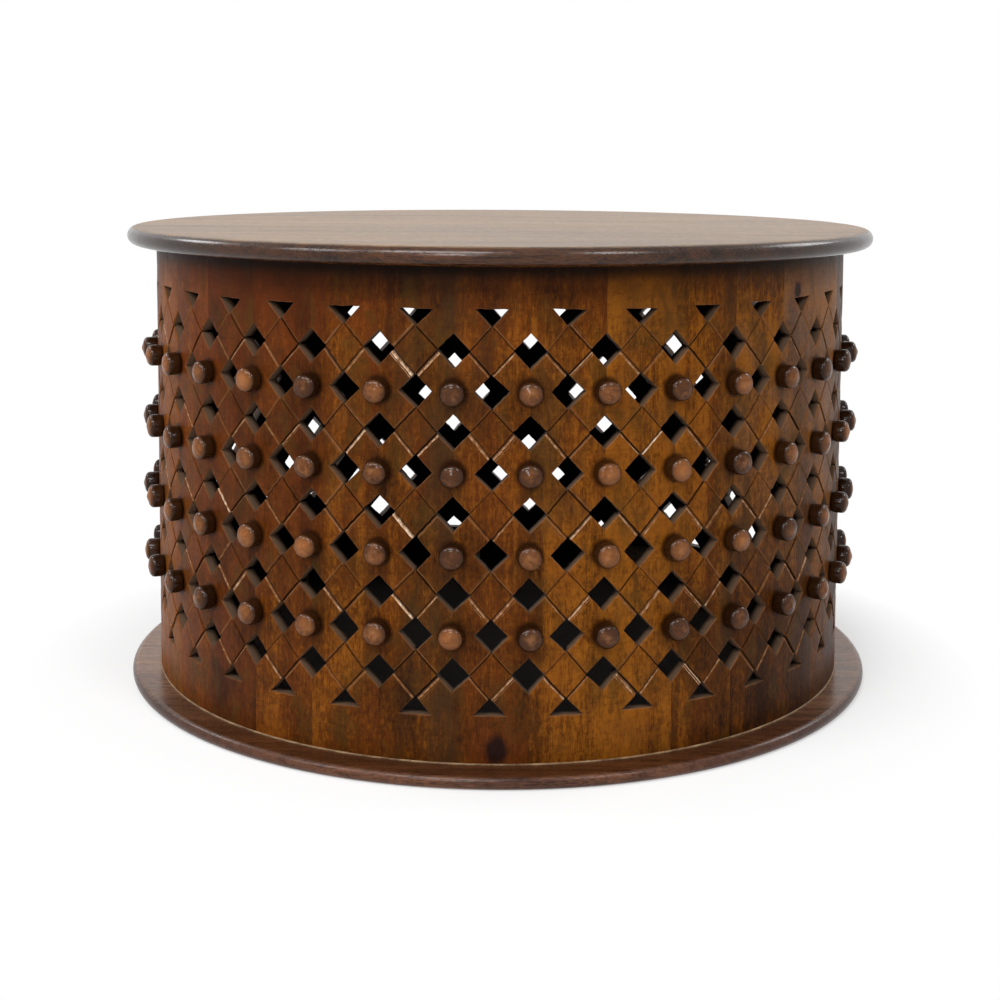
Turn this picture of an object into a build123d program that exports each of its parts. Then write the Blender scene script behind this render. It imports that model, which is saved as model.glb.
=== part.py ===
"""Carved drum table: a pierced round wall of glued staves between two turned discs.

Millimetres, +Z up. The origin is on the floor at the centre of the base disc.
An angle about the drum is counted from the front (-Y), positive towards +X.
"""

import os
from math import atan2, cos, degrees, hypot, radians, sin

from build123d import *

# Overall
TABLE_HEIGHT = 457.2

# Top and base discs, each glued up from boards and turned with a round nose
TOP_DIAMETER = 762.0
TOP_THICKNESS = 17.0
TOP_BOARD_COUNT = 7
BASE_DIAMETER = 762.0
BASE_THICKNESS = 12.0
BASE_BOARD_COUNT = 7

# Drum wall
DRUM_RADIUS = 352.5
WALL_THICKNESS = 12.0
STAVE_COUNT = 34
DRUM_TURN = 4.27  # degrees from the front to the first stave joint
FOOT_BEVEL = 1.2  # along the wall's lower outer edge

# Carved lattice: hole rows, counted down from the top row of half holes
ROW_COUNT = 11
ROW_PITCH = 34.85
HOLE_HALF_WIDTH = 14.7
HOLE_HALF_HEIGHT = 15.2
GROOVE_WIDTH = 3.0
GROOVE_DEPTH = 1.6

# Knobs, each a turned button with a tenon glued into the wall
KNOB_DIAMETER = 22.0
KNOB_PROJECTION = 16.5
KNOB_NOSE_RADIUS = 5.5
KNOB_SEAT_GAP = 0.1
TENON_DIAMETER = 8.0
TENON_LENGTH = 8.0
TENON_CLEARANCE = 0.1

# Cleats inside the drum, which hold the discs to the wall
CLEAT_COUNT = 8
CLEAT_LENGTH = 58.0
CLEAT_DEPTH = 28.0
CLEAT_HEIGHT = 30.0
CLEAT_GLUE_GAP = 0.2
WALL_SCREW_SPACING = 40.0

# Wood screws
SCREW_SHANK_DIAMETER = 3.5
SCREW_HEAD_DIAMETER = 7.0
SCREW_HEAD_HEIGHT = 2.4
SCREW_TIP_LENGTH = 4.0
SCREW_CLEARANCE = 0.1
SCREW_BITE_IN_DISC = 9.0
SCREW_BITE_IN_WALL = 7.5

# Worked out from the above
STAVE_ANGLE = 360 / STAVE_COUNT
WALL_BOTTOM = BASE_THICKNESS
WALL_TOP = TABLE_HEIGHT - TOP_THICKNESS
WALL_INNER_RADIUS = DRUM_RADIUS - WALL_THICKNESS
LATTICE_CENTRE = TABLE_HEIGHT / 2
LAST_ROW = ROW_COUNT - 1
CUT_MARGIN = 2.0  # how far a cutting tool runs past the face it breaks through


def row_height(row):
    """Height of a lattice row; the rows are centred on the table's height."""
    return LATTICE_CENTRE + (LAST_ROW / 2 - row) * ROW_PITCH


def wall_plane(angle, height, radius=DRUM_RADIUS):
    """Plane touching the drum: x runs round it, y runs up and z points out."""
    turn = radians(angle)
    outward = Vector(sin(turn), -cos(turn), 0)
    origin = outward * radius + Vector(0, 0, height)
    return Plane(origin=origin, x_dir=(cos(turn), sin(turn), 0), z_dir=outward)


def turned_disc(diameter, thickness, bottom):
    """Disc with a half-round nose along its edge."""
    nose = thickness / 2
    section = Rectangle(diameter / 2 - nose, thickness, align=(Align.MIN, Align.MIN))
    section += Pos(diameter / 2 - nose, nose) * Circle(nose)
    return Pos(0, 0, bottom) * revolve(Plane.XZ * section, Axis.Z)


def sawn_boards(disc, diameter, count):
    """The disc as the boards it was glued up from, which run along X."""
    width = diameter / count
    boards = []
    for index in range(count):
        centre = (index + 0.5) * width - diameter / 2
        strip = Pos(0, centre, 0) * Box(2 * diameter, width, 4 * TABLE_HEIGHT)
        boards.append(disc & strip)
    return boards


def pierced(angle, height, outline):
    """Cutting tool for a hole through the wall, square to it at its centre."""
    inside = wall_plane(angle, height, WALL_INNER_RADIUS - CUT_MARGIN)
    return extrude(inside * outline, WALL_THICKNESS + 2 * CUT_MARGIN)


def hole_outline(row):
    """Diamond, or half of one with its flat side outwards on the first and last rows."""
    left, right = (-HOLE_HALF_WIDTH, 0), (HOLE_HALF_WIDTH, 0)
    above, below = (0, HOLE_HALF_HEIGHT), (0, -HOLE_HALF_HEIGHT)
    if row == 0:
        corners = [left, below, right]
    elif row == LAST_ROW:
        corners = [left, right, above]
    else:
        corners = [left, below, right, above]
    return make_face(Polyline(*corners, close=True))


def groove(height, side, rise):
    """Cutting tool for one carved line, from a hole's corner to the next hole's corner.

    It lies along one edge of the plain square at this height in the middle of a stave.
    """
    stave_width = DRUM_RADIUS * radians(STAVE_ANGLE)
    half_width = stave_width / 2 - HOLE_HALF_WIDTH
    half_height = ROW_PITCH - HOLE_HALF_HEIGHT
    middle_angle = degrees(side * half_width / 2 / DRUM_RADIUS)
    middle_height = height + rise * half_height / 2
    slope = degrees(atan2(-rise * half_height, side * half_width))
    outward_sign = side * rise
    section = make_face(
        Polyline(
            (0, CUT_MARGIN),
            (0, -GROOVE_DEPTH),
            (outward_sign * GROOVE_WIDTH, 0),
            (outward_sign * GROOVE_WIDTH, CUT_MARGIN),
            close=True,
        )
    )
    length = hypot(half_width, half_height) + CUT_MARGIN
    bar = extrude(Plane.YZ * section, length / 2, both=True)
    return wall_plane(middle_angle, middle_height) * (Rot(0, 0, slope) * bar)


def knob_rows():
    """Rows on which knobs stand on the stave joints."""
    return range(2, LAST_ROW, 2)


def tenon_bore(angle, height):
    """Cutting tool for the hole a knob's tenon is glued into."""
    radius = TENON_DIAMETER / 2 + TENON_CLEARANCE
    depth = TENON_LENGTH + TENON_CLEARANCE
    bottom = wall_plane(angle, height, DRUM_RADIUS - depth)
    return bottom * extrude(Circle(radius), depth + CUT_MARGIN)


def plain_stave():
    """Stave at the front with its holes, carved lines and half bores."""
    height = WALL_TOP - WALL_BOTTOM
    section = Pos(0, WALL_BOTTOM) * Rectangle(DRUM_RADIUS, height, align=(Align.MIN, Align.MIN))
    section -= Pos(0, WALL_BOTTOM) * Rectangle(WALL_INNER_RADIUS, height, align=(Align.MIN, Align.MIN))
    foot = Vector(DRUM_RADIUS, WALL_BOTTOM)
    section -= make_face(
        Polyline(foot, foot - (FOOT_BEVEL, 0), foot + (0, FOOT_BEVEL), close=True)
    )
    blank = revolve(Plane.XZ * section, Axis.Z, STAVE_ANGLE)
    stave = Rot(0, 0, -90 - STAVE_ANGLE / 2) * blank
    edges = (-STAVE_ANGLE / 2, STAVE_ANGLE / 2)
    tools = []
    for row in range(ROW_COUNT):
        if row % 2 == 0:
            tools.append(pierced(0, row_height(row), hole_outline(row)))
            continue
        tools += [pierced(angle, row_height(row), hole_outline(row)) for angle in edges]
        tools += [groove(row_height(row), side, rise) for side in (-1, 1) for rise in (-1, 1)]
    for row in knob_rows():
        tools += [tenon_bore(angle, row_height(row)) for angle in edges]
    for tool in tools:
        stave -= tool
    return stave


def stave_centre(index):
    """Angle of the middle of a stave; the first joint is at DRUM_TURN."""
    return DRUM_TURN + (index + 0.5) * STAVE_ANGLE


def knob():
    """Turned button standing on the XY plane, with its tenon below."""
    low = (Align.CENTER, Align.CENTER, Align.MIN)
    high = (Align.CENTER, Align.CENTER, Align.MAX)
    button = Cylinder(KNOB_DIAMETER / 2, KNOB_PROJECTION, align=low)
    button = fillet(button.edges().group_by(Axis.Z)[-1], KNOB_NOSE_RADIUS)
    return button + Cylinder(TENON_DIAMETER / 2, TENON_LENGTH, align=high)


def knob_row(row):
    """One knob on every stave joint of a row."""
    seat = DRUM_RADIUS + KNOB_SEAT_GAP
    angles = [DRUM_TURN + index * STAVE_ANGLE for index in range(STAVE_COUNT)]
    return [wall_plane(angle, row_height(row), seat) * knob() for angle in angles]


def screw(length, clearance=0.0):
    """Countersunk wood screw pointing up, its head's face on the XY plane.

    With a clearance it is the hole for that screw.
    """
    shank = SCREW_SHANK_DIAMETER / 2 + clearance
    head = SCREW_HEAD_DIAMETER / 2 + clearance
    end = length + clearance
    outline = Polyline(
        (0, 0),
        (head, 0),
        (shank, SCREW_HEAD_HEIGHT + clearance),
        (shank, end - SCREW_TIP_LENGTH),
        (0, end),
        close=True,
    )
    return revolve(Plane.XZ * make_face(outline), Axis.Z)


def cleat_staves():
    """Indexes of the staves that carry a cleat, spread evenly round the drum."""
    return [round(index * STAVE_COUNT / CLEAT_COUNT) for index in range(CLEAT_COUNT)]


def cleat_blank(angle, bottom):
    """Block with its back rounded to the inside of the wall."""
    back = WALL_INNER_RADIUS - CLEAT_GLUE_GAP
    centre = wall_plane(angle, bottom + CLEAT_HEIGHT / 2, back - CLEAT_DEPTH / 2)
    block = centre * Box(CLEAT_LENGTH, CLEAT_HEIGHT, CLEAT_DEPTH)
    return block & Pos(0, 0, bottom) * Cylinder(back, 3 * CLEAT_HEIGHT)


def disc_screw(angle, bottom, upwards, clearance=0.0):
    """Screw through a cleat into the disc above or below it."""
    radius = WALL_INNER_RADIUS - CLEAT_GLUE_GAP - CLEAT_DEPTH / 2
    foot = wall_plane(angle, bottom, radius).origin
    body = screw(CLEAT_HEIGHT + SCREW_BITE_IN_DISC, clearance)
    if upwards:
        return Pos(foot) * body
    return Pos(foot) * Pos(0, 0, CLEAT_HEIGHT) * Rot(180, 0, 0) * body


def wall_screws(angle, bottom, clearance=0.0):
    """The two screws through a cleat into its stave."""
    length = CLEAT_DEPTH + CLEAT_GLUE_GAP + SCREW_BITE_IN_WALL
    face = WALL_INNER_RADIUS - CLEAT_GLUE_GAP - CLEAT_DEPTH
    plane = wall_plane(angle, bottom + CLEAT_HEIGHT / 2, face)
    offsets = (-WALL_SCREW_SPACING / 2, WALL_SCREW_SPACING / 2)
    return [plane * Pos(offset, 0, 0) * screw(length, clearance) for offset in offsets]


def save(name, solids):
    """Writes one named sub-part."""
    shape = Compound(children=list(solids)) if len(solids) > 1 else solids[0]
    export_step(shape, f"parts/{name}.step")


def build():
    """Makes every sub-part and writes it to parts/."""
    os.makedirs("parts", exist_ok=True)
    angles = [stave_centre(index) for index in cleat_staves()]
    under_top = WALL_TOP - CLEAT_HEIGHT
    on_base = WALL_BOTTOM

    for place, bottom, upwards in (("top", under_top, True), ("base", on_base, False)):
        cleats = []
        for angle in angles:
            cleat = cleat_blank(angle, bottom) - disc_screw(angle, bottom, upwards, SCREW_CLEARANCE)
            for hole in wall_screws(angle, bottom, SCREW_CLEARANCE):
                cleat -= hole
            cleats.append(cleat)
        save(f"{place}_cleats", cleats)
        save(f"{place}_disc_screws", [disc_screw(angle, bottom, upwards) for angle in angles])
        save(f"{place}_wall_screws", [s for angle in angles for s in wall_screws(angle, bottom)])

    top_disc = turned_disc(TOP_DIAMETER, TOP_THICKNESS, WALL_TOP)
    base_disc = turned_disc(BASE_DIAMETER, BASE_THICKNESS, 0)
    for angle in angles:
        top_disc -= disc_screw(angle, under_top, True, SCREW_CLEARANCE)
        base_disc -= disc_screw(angle, on_base, False, SCREW_CLEARANCE)
    for index, board in enumerate(sawn_boards(top_disc, TOP_DIAMETER, TOP_BOARD_COUNT)):
        save(f"top_board_{index + 1}", [board])
    for index, board in enumerate(sawn_boards(base_disc, BASE_DIAMETER, BASE_BOARD_COUNT)):
        save(f"base_board_{index + 1}", [board])

    stave = plain_stave()
    carrying = cleat_staves()
    screwed = stave
    for bottom in (under_top, on_base):
        for hole in wall_screws(0, bottom, SCREW_CLEARANCE):
            screwed -= hole
    for index in range(STAVE_COUNT):
        blank = screwed if index in carrying else stave
        save(f"stave_{index + 1:02d}", [Rot(0, 0, stave_centre(index)) * blank])
    for number, row in enumerate(knob_rows()):
        save(f"knob_row_{number + 1}", knob_row(row))


build()
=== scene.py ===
"""Looks of the carved drum table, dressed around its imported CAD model. Metres, +Z up, front at -Y."""

import random
from math import cos, pi, radians, sin, sqrt, tau

import bmesh
import bpy
import numpy as np
from mathutils import Euler, Matrix, Vector
from mathutils.geometry import delaunay_2d_cdt


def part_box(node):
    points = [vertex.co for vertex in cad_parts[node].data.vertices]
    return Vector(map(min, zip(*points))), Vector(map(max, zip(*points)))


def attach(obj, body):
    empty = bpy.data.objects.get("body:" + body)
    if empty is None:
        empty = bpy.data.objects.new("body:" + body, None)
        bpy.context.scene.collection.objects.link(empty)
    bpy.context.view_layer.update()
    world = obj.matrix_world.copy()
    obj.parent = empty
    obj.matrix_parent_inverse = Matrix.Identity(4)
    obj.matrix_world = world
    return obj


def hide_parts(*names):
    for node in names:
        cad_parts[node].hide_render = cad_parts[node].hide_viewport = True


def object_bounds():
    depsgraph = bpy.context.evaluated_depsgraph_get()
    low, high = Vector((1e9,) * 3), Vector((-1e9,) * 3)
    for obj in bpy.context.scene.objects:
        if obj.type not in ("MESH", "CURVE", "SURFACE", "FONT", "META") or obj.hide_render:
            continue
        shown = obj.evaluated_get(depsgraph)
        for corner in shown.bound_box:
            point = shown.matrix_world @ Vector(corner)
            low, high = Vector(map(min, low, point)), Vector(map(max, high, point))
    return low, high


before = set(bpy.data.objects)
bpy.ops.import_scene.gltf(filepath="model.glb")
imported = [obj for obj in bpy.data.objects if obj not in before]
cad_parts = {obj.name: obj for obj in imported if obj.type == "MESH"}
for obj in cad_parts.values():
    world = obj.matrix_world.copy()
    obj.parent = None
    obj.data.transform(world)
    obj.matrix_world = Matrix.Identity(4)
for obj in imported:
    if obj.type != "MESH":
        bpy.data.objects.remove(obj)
cad_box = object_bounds()

MM = 0.001

# ---- sizes read from the frame ----
STAVES = sorted(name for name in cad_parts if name.startswith("stave_"))
KNOB_ROWS = sorted(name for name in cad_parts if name.startswith("knob_row_"))

stave_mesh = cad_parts[STAVES[0]].data
first_stave = np.zeros(len(stave_mesh.vertices) * 3)
stave_mesh.vertices.foreach_get("co", first_stave)
first_stave = first_stave.reshape(-1, 3)
stave_radii = np.hypot(first_stave[:, 0], first_stave[:, 1])
stave_angles = np.arctan2(first_stave[:, 0], -first_stave[:, 1])
DRUM_RADIUS = stave_radii.max()
INNER_RADIUS = stave_radii.min()
WALL_BOTTOM, WALL_TOP = first_stave[:, 2].min(), first_stave[:, 2].max()
STAVE_ANGLE = tau / len(STAVES)
FIRST_JOINT = (stave_angles.min() + stave_angles.max()) / 2 - STAVE_ANGLE / 2
STAVE_WIDTH = DRUM_RADIUS * STAVE_ANGLE
HALF_STAVE = STAVE_WIDTH / 2
KNOB_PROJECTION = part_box(KNOB_ROWS[0])[1].x - DRUM_RADIUS
TABLE_HEIGHT = cad_box[1][2]

# ---- the carved lattice, as in the CAD model ----
ROW_COUNT = 11
LAST_ROW = ROW_COUNT - 1
ROW_PITCH = 34.85 * MM
HOLE_HALF_WIDTH = 14.7 * MM
HOLE_HALF_HEIGHT = 15.2 * MM
FOOT_BEVEL = 1.2 * MM
KNOB_RADIUS = 11.0 * MM

# ---- carved lines ----
GROOVE_WIDTH = 3.6 * MM
GROOVE_WIDTH_SPREAD = 0.22
GROOVE_DEPTH = 1.6 * MM
GROOVE_DEPTH_SPREAD = 0.25
VALLEY_OFFSET = 0.4 * MM
BEVEL_LIP = 0.5 * MM
LIP_DEPTH = 0.12  # as a share of the groove's depth
# The bevels are painted paler, partly as paler cut wood and partly as a painted highlight.
BEVEL_PALE_AND_SHEEN = (0.42, 1.0)
VALLEY_PALE_AND_SHEEN = 0.3
GLINT_SHARE, GLINT_LEVEL = 0.07, 1.7  # lower grooves whose bevel lip is painted with a bright highlight
WIDE_SHARE, WIDE_GROOVE = 0.2, 1.2
# Bevels over a square get less painted highlight and their valleys less painted shade.
ABOVE_WIDTH, ABOVE_SHEEN, ABOVE_VALLEY_SHADE = 0.72, 0.72, 0.8  # grooves over a square, against those under it
SECOND_CUT_SHARE = 0.18
SECOND_CUT = (0.6 * MM, 1.0 * MM, 1.5 * MM)
SECOND_CUT_DEPTH = 0.45 * MM
# Groove valleys are painted dark as painted shade; the joints are painted as dark lines.
MAX_VALLEY_SHADE, JOINT_DARKNESS = 1.3, 0.55  # against a groove's usual depth

# ---- the hand of the carver ----
ARRIS_RADIUS = 0.8 * MM
ARRIS_TURNS = (0.0, 35.0, 62.0, 90.0)  # degrees round the arris
CORNER_JITTER = 0.75 * MM
HOLLOW, HOLLOW_WAVE = 0.12 * MM, 40 * MM
WANDER, WANDER_WAVE = 0.22 * MM, 14 * MM
JOINT_FADE, END_FADE = 4 * MM, 8 * MM  # where the wander dies out
WOBBLE_TERMS = 8

# ---- mesh of the staves ----
JOINT_LINE = 0.5 * MM
EDGE_STEP = 4.5 * MM
GRID_STEP = 5.5 * MM
BACK_STEP = 14.0 * MM
GROOVE_OVERRUN = 1.5  # in arris radii, past the groove's ends
RING_MARGIN = 2.5 * ARRIS_RADIUS
HOLE_MARGIN = 3 * ARRIS_RADIUS
ARRIS_REACH = 1.01 * ARRIS_RADIUS
GROOVE_MARGIN = 1.2 * MM
GROOVE_REACH = 3 * ARRIS_RADIUS
BACK_MARGIN = 3 * MM
TOUCHING = 1e-6
FACET_ANGLE, ARRIS_ANGLE, TURNED_ANGLE = 16, 33, 50  # degrees up to which edges stay smooth

# ---- stains and knots, in mm, by stave number ----
# Grey stains that run up a board: from and to, across the stave.
STAINS = {33: (10, 60), 34: (-60, -28), 3: (16, 60), 15: (-60, -14), 23: (8, 60)}
STAIN_FADE = 14.0 * MM

# Knots: place across the stave, height, and half width of the dark core.
KNOTS = {34: (5, 23.5, 9), 5: (-9, 410, 4.5), 12: (12, 38, 6), 20: (-6, 28, 5), 26: (5, 425, 4)}
KNOT_STRETCH = 1.35
NO_KNOT = 9.0


def row_height(row):
    """Height of a lattice row; the rows are centred on the table's height."""
    return TABLE_HEIGHT / 2 + (LAST_ROW / 2 - row) * ROW_PITCH


def seeded(*key):
    """Random numbers that depend only on the words and numbers given."""
    return random.Random("-".join(str(part) for part in key))


# ---- carved staves ----
def outward_ring(corners, distance, closed):
    """The corner points moved out from the hole by a distance, square to its sides."""
    sides = [(end - start).normalized() for start, end in zip(corners, corners[1:] + corners[:1])]
    normals = [Vector((side.y, -side.x)) for side in sides]
    moved = []
    for index, point in enumerate(corners):
        before, after = normals[index - 1], normals[index]
        if closed or 0 < index < len(corners) - 1:
            middle = (before + after).normalized()
            moved.append(point + middle * (distance / middle.dot(before)))
        else:
            moved.append(point + Vector((0, distance / (before if index else after).y)))
    return moved


def subdivided(points, closed=False):
    """Points along the lines between the given ones, about EDGE_STEP apart."""
    line = []
    for start, end in zip(points, points[1:] + (points[:1] if closed else [])):
        steps = max(2, round((end - start).length / EDGE_STEP))
        line += [start.lerp(end, step / steps) for step in range(steps)]
    return line if closed else line + [points[-1]]


class Hole:
    """One pierced opening of a stave, whole or, at its left and right joint, the half in this stave.

    Its column is a whole number on a joint and a half between two joints, and its side is -1, 0 or 1.
    """

    def __init__(self, column, row, side):
        rng = seeded("hole", column, row)

        def jitter():
            return rng.uniform(-CORNER_JITTER, CORNER_JITTER)

        corners = {
            "left": (-HOLE_HALF_WIDTH + jitter(), jitter()),
            "right": (HOLE_HALF_WIDTH + jitter(), jitter()),
            "bottom": (0 if side else jitter(), -HOLE_HALF_HEIGHT + jitter()),
            "top": (0 if side else jitter(), HOLE_HALF_HEIGHT + jitter()),
        }
        order = ["left", "bottom", "right", "top"]
        if row == 0:
            order = ["left", "bottom", "right"]
        if row == LAST_ROW:
            order = ["left", "right", "top"]
        if side < 0:
            order = ["bottom", "right", "top"]
        if side > 0:
            order = ["top", "left", "bottom"]
        self.axis_u = side * HALF_STAVE
        centre = Vector((self.axis_u, row_height(row)))
        self.named = {name: centre + Vector(corner) for name, corner in corners.items()}
        self.corners = [self.named[name] for name in order]
        self.closed = side == 0
        self.row, self.side = row, side

    def rings(self):
        """Lines round the hole, from its edge outwards over the rounded arris."""
        lines = []
        for turn in ARRIS_TURNS:
            distance = ARRIS_RADIUS * (1 - cos(radians(turn)))
            points = outward_ring(self.corners, distance, self.closed) if distance else self.corners
            lines.append(subdivided(points, self.closed))
        return lines


class Groove:
    """One carved line: a steep cut on the plain square's side and a wide bevel outside it."""

    def __init__(self, start, end, square_centre, key):
        rng = seeded("groove", *key)
        wide = WIDE_GROOVE if rng.random() < WIDE_SHARE else 1.0
        above = (start.y + end.y) / 2 > square_centre.y
        if above:
            wide *= ABOVE_WIDTH
        self.start, self.end = start, end
        self.along = (end - start).normalized()
        normal = Vector((self.along.y, -self.along.x))
        if normal.dot((start + end) / 2 - square_centre) < 0:
            normal = -normal
        self.normal = normal
        self.width = GROOVE_WIDTH * wide * (1 + rng.uniform(-1, 1) * GROOVE_WIDTH_SPREAD)
        self.depth = GROOVE_DEPTH * (1 + rng.uniform(-1, 1) * GROOVE_DEPTH_SPREAD)
        self.polish = min(rng.uniform(*BEVEL_PALE_AND_SHEEN) * wide, 1.0) * (ABOVE_SHEEN if above else 1.0)
        # Some lower grooves get a bright painted highlight along the bevel.
        if not above and rng.random() < GLINT_SHARE:
            self.polish = GLINT_LEVEL
        # Grooves over a square get less painted shade in their valleys.
        self.darkness = ABOVE_VALLEY_SHADE if above else 1.0
        self.steps = [0.0, VALLEY_OFFSET, self.width - BEVEL_LIP, self.width]
        self.second = rng.random() < SECOND_CUT_SHARE
        self.second_steps = [self.width + offset for offset in SECOND_CUT]

    def lines(self):
        """The steep edge, the valley and the bevel's two outer edges."""
        reach = self.along * ARRIS_RADIUS * GROOVE_OVERRUN
        made = [subdivided([self.start, self.end])]
        for offset in self.steps[1:] + (self.second_steps if self.second else []):
            shift = self.normal * offset
            made.append(subdivided([self.start + shift - reach, self.end + shift + reach]))
        return made

    def profile(self, points, levels, second_levels):
        """A value at each point that follows the levels across the cut and across a second cut."""
        relative = points - np.array(self.start)
        across = relative @ np.array(self.normal)
        along = relative @ np.array(self.along)
        length = (self.end - self.start).length
        inside = (along > -GROOVE_REACH) & (along < length + GROOVE_REACH)
        values = np.interp(across, self.steps, levels, left=0, right=0)
        if self.second:
            values = np.maximum(values, np.interp(across, self.second_steps, second_levels, left=0, right=0))
        return np.where(inside, values, 0)

    def depths(self, points):
        """Depth of the cut at each point."""
        return self.profile(points, [0, self.depth, LIP_DEPTH * self.depth, 0], [0, SECOND_CUT_DEPTH, 0])

    def shine(self, points):
        """How pale the bevel is painted at each point, most along its outer lip: paler cut wood and a
        painted highlight.
        """
        return self.profile(points, [0, VALLEY_PALE_AND_SHEEN * self.polish, self.polish, 0], [0, self.polish, 0])


def stave_holes(index):
    """The holes of one stave: whole ones in its middle and halves at its two joints."""
    holes = []
    for row in range(ROW_COUNT):
        if row % 2:
            holes += [Hole(index, row, -1), Hole((index + 1) % len(STAVES), row, 1)]
        else:
            holes.append(Hole(index + 0.5, row, 0))
    return holes


def stave_grooves(index, holes):
    """Four carved lines round each plain square in the middle of a stave."""
    corners = {(hole.row, hole.side): hole.named for hole in holes}
    grooves = []
    for row in range(1, ROW_COUNT, 2):
        centre = Vector((0, row_height(row)))
        top, bottom = corners[row - 1, 0]["bottom"], corners[row + 1, 0]["top"]
        left, right = corners[row, -1]["right"], corners[row, 1]["left"]
        for number, ends in enumerate(((top, right), (right, bottom), (bottom, left), (left, top))):
            grooves.append(Groove(*ends, centre, (index, row, number)))
    return grooves


def segment_distance(points, start, end):
    """Distance of each point from a line segment."""
    start, end = np.array(start), np.array(end)
    side = end - start
    share = np.clip(((points - start) @ side) / (side @ side), 0, 1)
    return np.linalg.norm(points - start - share[:, None] * side, axis=1)


def outside_holes(points, holes):
    """Whether each point lies outside all of the holes, whose corners run anticlockwise."""
    outside = np.ones(len(points), bool)
    for hole in holes:
        inside = np.ones(len(points), bool)
        for start, end in zip(hole.corners, hole.corners[1:] + hole.corners[:1]):
            side = end - start
            inside &= (side.x * (points[:, 1] - start.y) - side.y * (points[:, 0] - start.x)) > 0
        outside &= ~inside
    return outside


def hole_distance(points, holes):
    """Distance of each point from the nearest hole's edge."""
    nearest = np.full(len(points), 1.0)
    for hole in holes:
        ends = hole.corners[1:] + (hole.corners[:1] if hole.closed else [])
        for start, end in zip(hole.corners, ends):
            nearest = np.minimum(nearest, segment_distance(points, start, end))
    return nearest


def joint_heights(holes, side):
    """Heights of the points needed along one joint: the grid's and those where rings end."""
    steps = round((WALL_TOP - WALL_BOTTOM) / GRID_STEP)
    heights = list(np.linspace(WALL_BOTTOM, WALL_TOP, steps + 1)) + [WALL_BOTTOM + FOOT_BEVEL]
    blocked = []
    for hole in holes:
        if hole.side != side:
            continue
        low, high = hole.named["bottom"].y, hole.named["top"].y
        blocked.append((low, high))
        heights = [z for z in heights if not low - RING_MARGIN < z < high + RING_MARGIN]
        for line in hole.rings():
            heights += [line[0].y, line[-1].y]
    return sorted(heights), blocked


def add_line(points, edges, line, closed=False):
    """Appends a line's points and the edges between them."""
    first = len(points)
    points += [tuple(point) for point in line]
    edges += [(first + step, first + step + 1) for step in range(len(line) - 1)]
    if closed:
        edges.append((len(points) - 1, first))


def triangulated(points, edges, holes):
    """Triangles of the stave's outline without its holes, as (points, triangles)."""
    found = delaunay_2d_cdt([Vector(point) for point in points], edges, [], 0, 1e-7)
    flat = np.array([tuple(point) for point in found[0]])
    triangles = np.array([tuple(face) for face in found[2]])
    triangles = triangles[outside_holes(flat[triangles].mean(axis=1), holes)]
    used, renumbered = np.unique(triangles, return_inverse=True)
    return flat[used], renumbered.reshape(-1, 3)


def front_layout(holes, grooves):
    """Points and triangles of a stave's carved face, laid out flat."""
    points, edges = [], []
    for hole in holes:
        for line in hole.rings():
            add_line(points, edges, line, hole.closed)
    for groove in grooves:
        for line in groove.lines():
            add_line(points, edges, line)
    for side in (-1, 1):
        heights, blocked = joint_heights(holes, side)
        for inset in (0.0, JOINT_LINE):
            first = len(points)
            points += [(side * (HALF_STAVE - inset), z) for z in heights]
            for step, (low, high) in enumerate(zip(heights, heights[1:])):
                middle = (low + high) / 2
                if not any(start < middle < end for start, end in blocked):
                    edges.append((first + step, first + step + 1))
    inset_half = HALF_STAVE - JOINT_LINE
    across = np.linspace(-inset_half, inset_half, round(STAVE_WIDTH / GRID_STEP) + 1)
    for z in (WALL_BOTTOM, WALL_TOP):
        add_line(points, edges, [Vector((u, z)) for u in (-HALF_STAVE, *across, HALF_STAVE)])
    add_line(points, edges, [Vector((u, WALL_BOTTOM + FOOT_BEVEL)) for u in across])
    rows = np.arange(WALL_BOTTOM + GRID_STEP, WALL_TOP - GRID_STEP / 2, GRID_STEP)
    grid = np.array([(u, z) for z in rows for u in across[1:-1]])
    clear = (hole_distance(grid, holes) > HOLE_MARGIN) & outside_holes(grid, holes)
    for groove in grooves:
        for line in groove.lines():
            clear &= segment_distance(grid, line[0], line[-1]) > GROOVE_MARGIN
    points += [tuple(point) for point in grid[clear]]
    return triangulated(points, edges, holes)


def boundary_edges(triangles):
    """Edges that only one triangle uses, in that triangle's direction."""
    directed = np.concatenate([triangles[:, [0, 1]], triangles[:, [1, 2]], triangles[:, [2, 0]]])
    keys = {tuple(edge) for edge in directed.tolist()}
    return [edge for edge in directed.tolist() if (edge[1], edge[0]) not in keys]


def wobble(angles, heights, seed, wave, size):
    """Smooth random field over the drum that closes on itself."""
    rng = seeded("wobble", seed)
    total = np.zeros_like(angles)
    for _ in range(WOBBLE_TERMS):
        turns = round(rng.uniform(0.5, 1.5) * tau * DRUM_RADIUS / wave)
        rise = rng.choice((-1, 1)) * rng.uniform(0.5, 1.5) * tau / wave
        total += np.sin(turns * angles + rise * heights + rng.uniform(0, tau))
    return total * size / sqrt(WOBBLE_TERMS)


def on_drum(angles, radii, heights):
    """Points in space from angles round the drum, radii and heights."""
    return np.stack([radii * np.sin(angles), -radii * np.cos(angles), heights], axis=1)


def add_attribute(mesh, name, values):
    """Stores one value or vector for each vertex."""
    values = np.asarray(values, float)
    kind = "FLOAT_VECTOR" if values.ndim == 2 else "FLOAT"
    attribute = mesh.attributes.new(name, kind, "POINT")
    attribute.data.foreach_set("vector" if values.ndim == 2 else "value", values.ravel())


def new_piece(name, points, faces, material):
    """A mesh object made of the given points and faces."""
    mesh = bpy.data.meshes.new(name)
    mesh.from_pydata(points, [], faces)
    mesh.materials.append(material)
    piece = bpy.data.objects.new(name, mesh)
    bpy.context.scene.collection.objects.link(piece)
    return piece


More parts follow.
